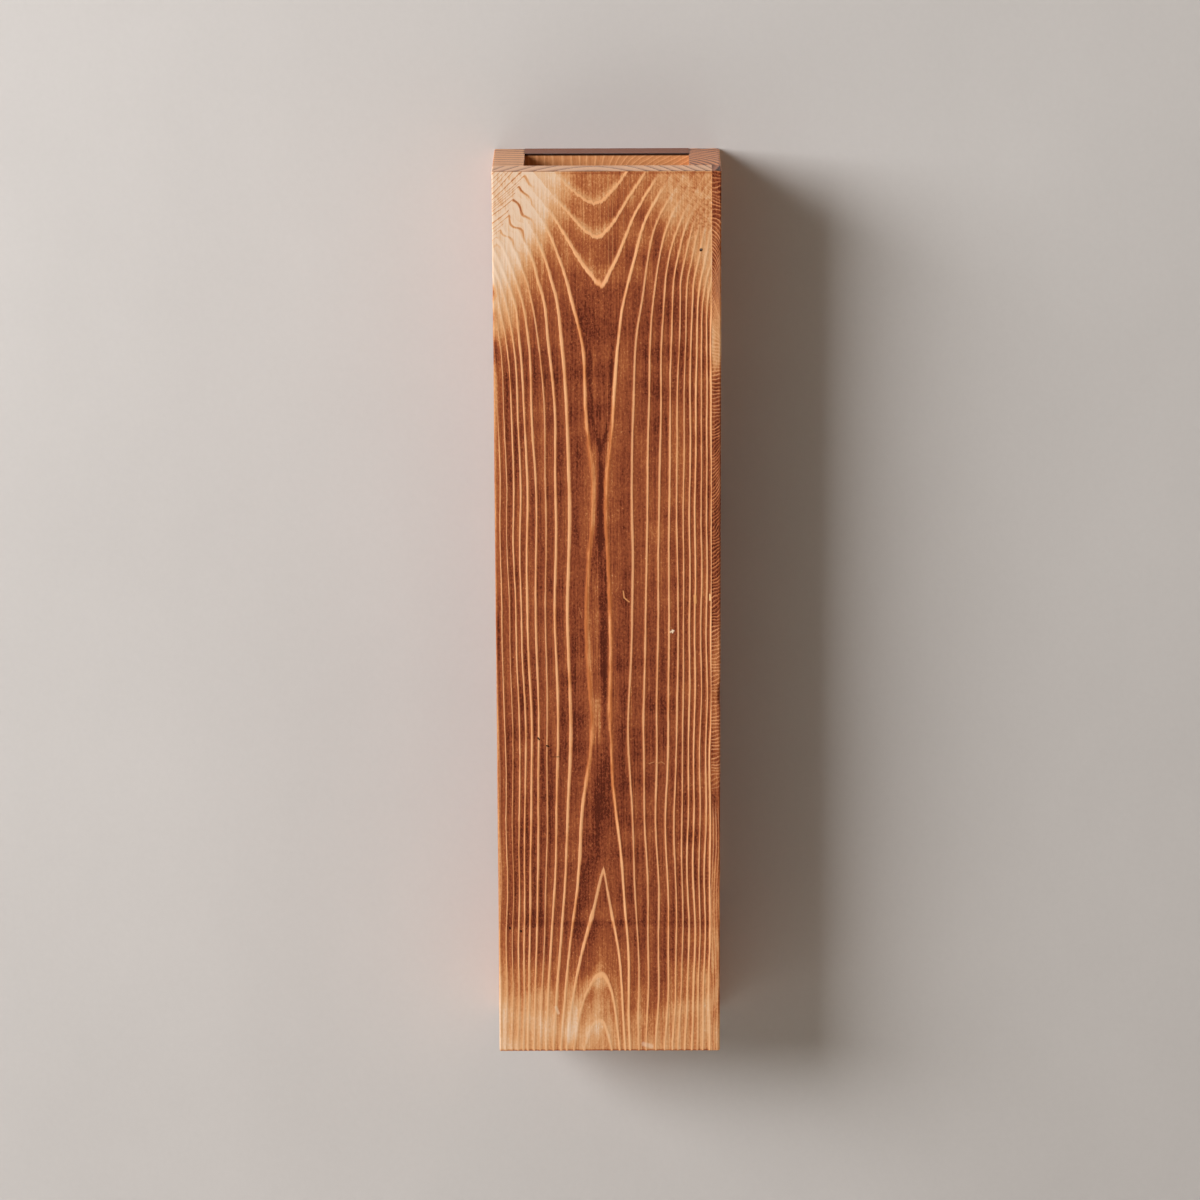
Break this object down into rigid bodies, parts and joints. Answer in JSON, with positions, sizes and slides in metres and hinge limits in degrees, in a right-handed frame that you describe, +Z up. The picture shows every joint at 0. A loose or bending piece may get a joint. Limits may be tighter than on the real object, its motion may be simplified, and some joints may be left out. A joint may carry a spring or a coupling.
{
  "type": "wall planter",
  "caption": "Tall narrow wall-hung planter box of scorched softwood boards, open at the top, with a lift-out liner on an inner shelf and keyhole hangers in the back.",
  "frame": {"origin": "in the wall plane, midway between the entry holes of the two keyhole hangers", "axes": "+Z up along the box's height, +Y into the wall, +X to the right as seen from the room"},
  "size_m": [0.146, 0.084, 0.59],
  "materials": {
    "front_wood": "scorched, brushed and waxed flat-sawn softwood",
    "strip_wood": "scorched and brushed softwood, darker",
    "side_wood": "scorched and brushed softwood",
    "back_wood": "lightly scorched softwood",
    "inner_wood": "planed bare softwood",
    "shelf_ply": "bare plywood",
    "liner_plastic": "fine matt",
    "brad_steel": "bright drawn wire",
    "hanger_steel": "zinc plated",
    "screw_steel": "zinc plated"
  },
  "bodies": {
    "box": {"front_board": "front_wood", "front_edge_strip": "strip_wood", "side_board_left": "side_wood", "side_board_right": "side_wood", "back_board": "back_wood", "base_board": "inner_wood", "liner_shelf": "shelf_ply", "shelf_cleat_left": "inner_wood", "shelf_cleat_right": "inner_wood", "hanger_plate_left": "hanger_steel", "hanger_plate_right": "hanger_steel", "hanger_screws_left": "screw_steel", "hanger_screws_right": "screw_steel", "front_brads_left": "brad_steel", "front_brads_right": "brad_steel", "back_brads_left": "brad_steel", "back_brads_right": "brad_steel", "base_brads_left": "brad_steel", "base_brads_right": "brad_steel", "cleat_brads_left": "brad_steel", "cleat_brads_right": "brad_steel", "shelf_brads_left": "brad_steel", "shelf_brads_right": "brad_steel"},
    "liner": {"liner": "liner_plastic"}
  },
  "joints": [
    {"name": "liner_lift", "type": "slide", "parent": "box", "child": "liner", "axis": [0, 0, 1], "range_m": [0, 0.21]}
  ]
}
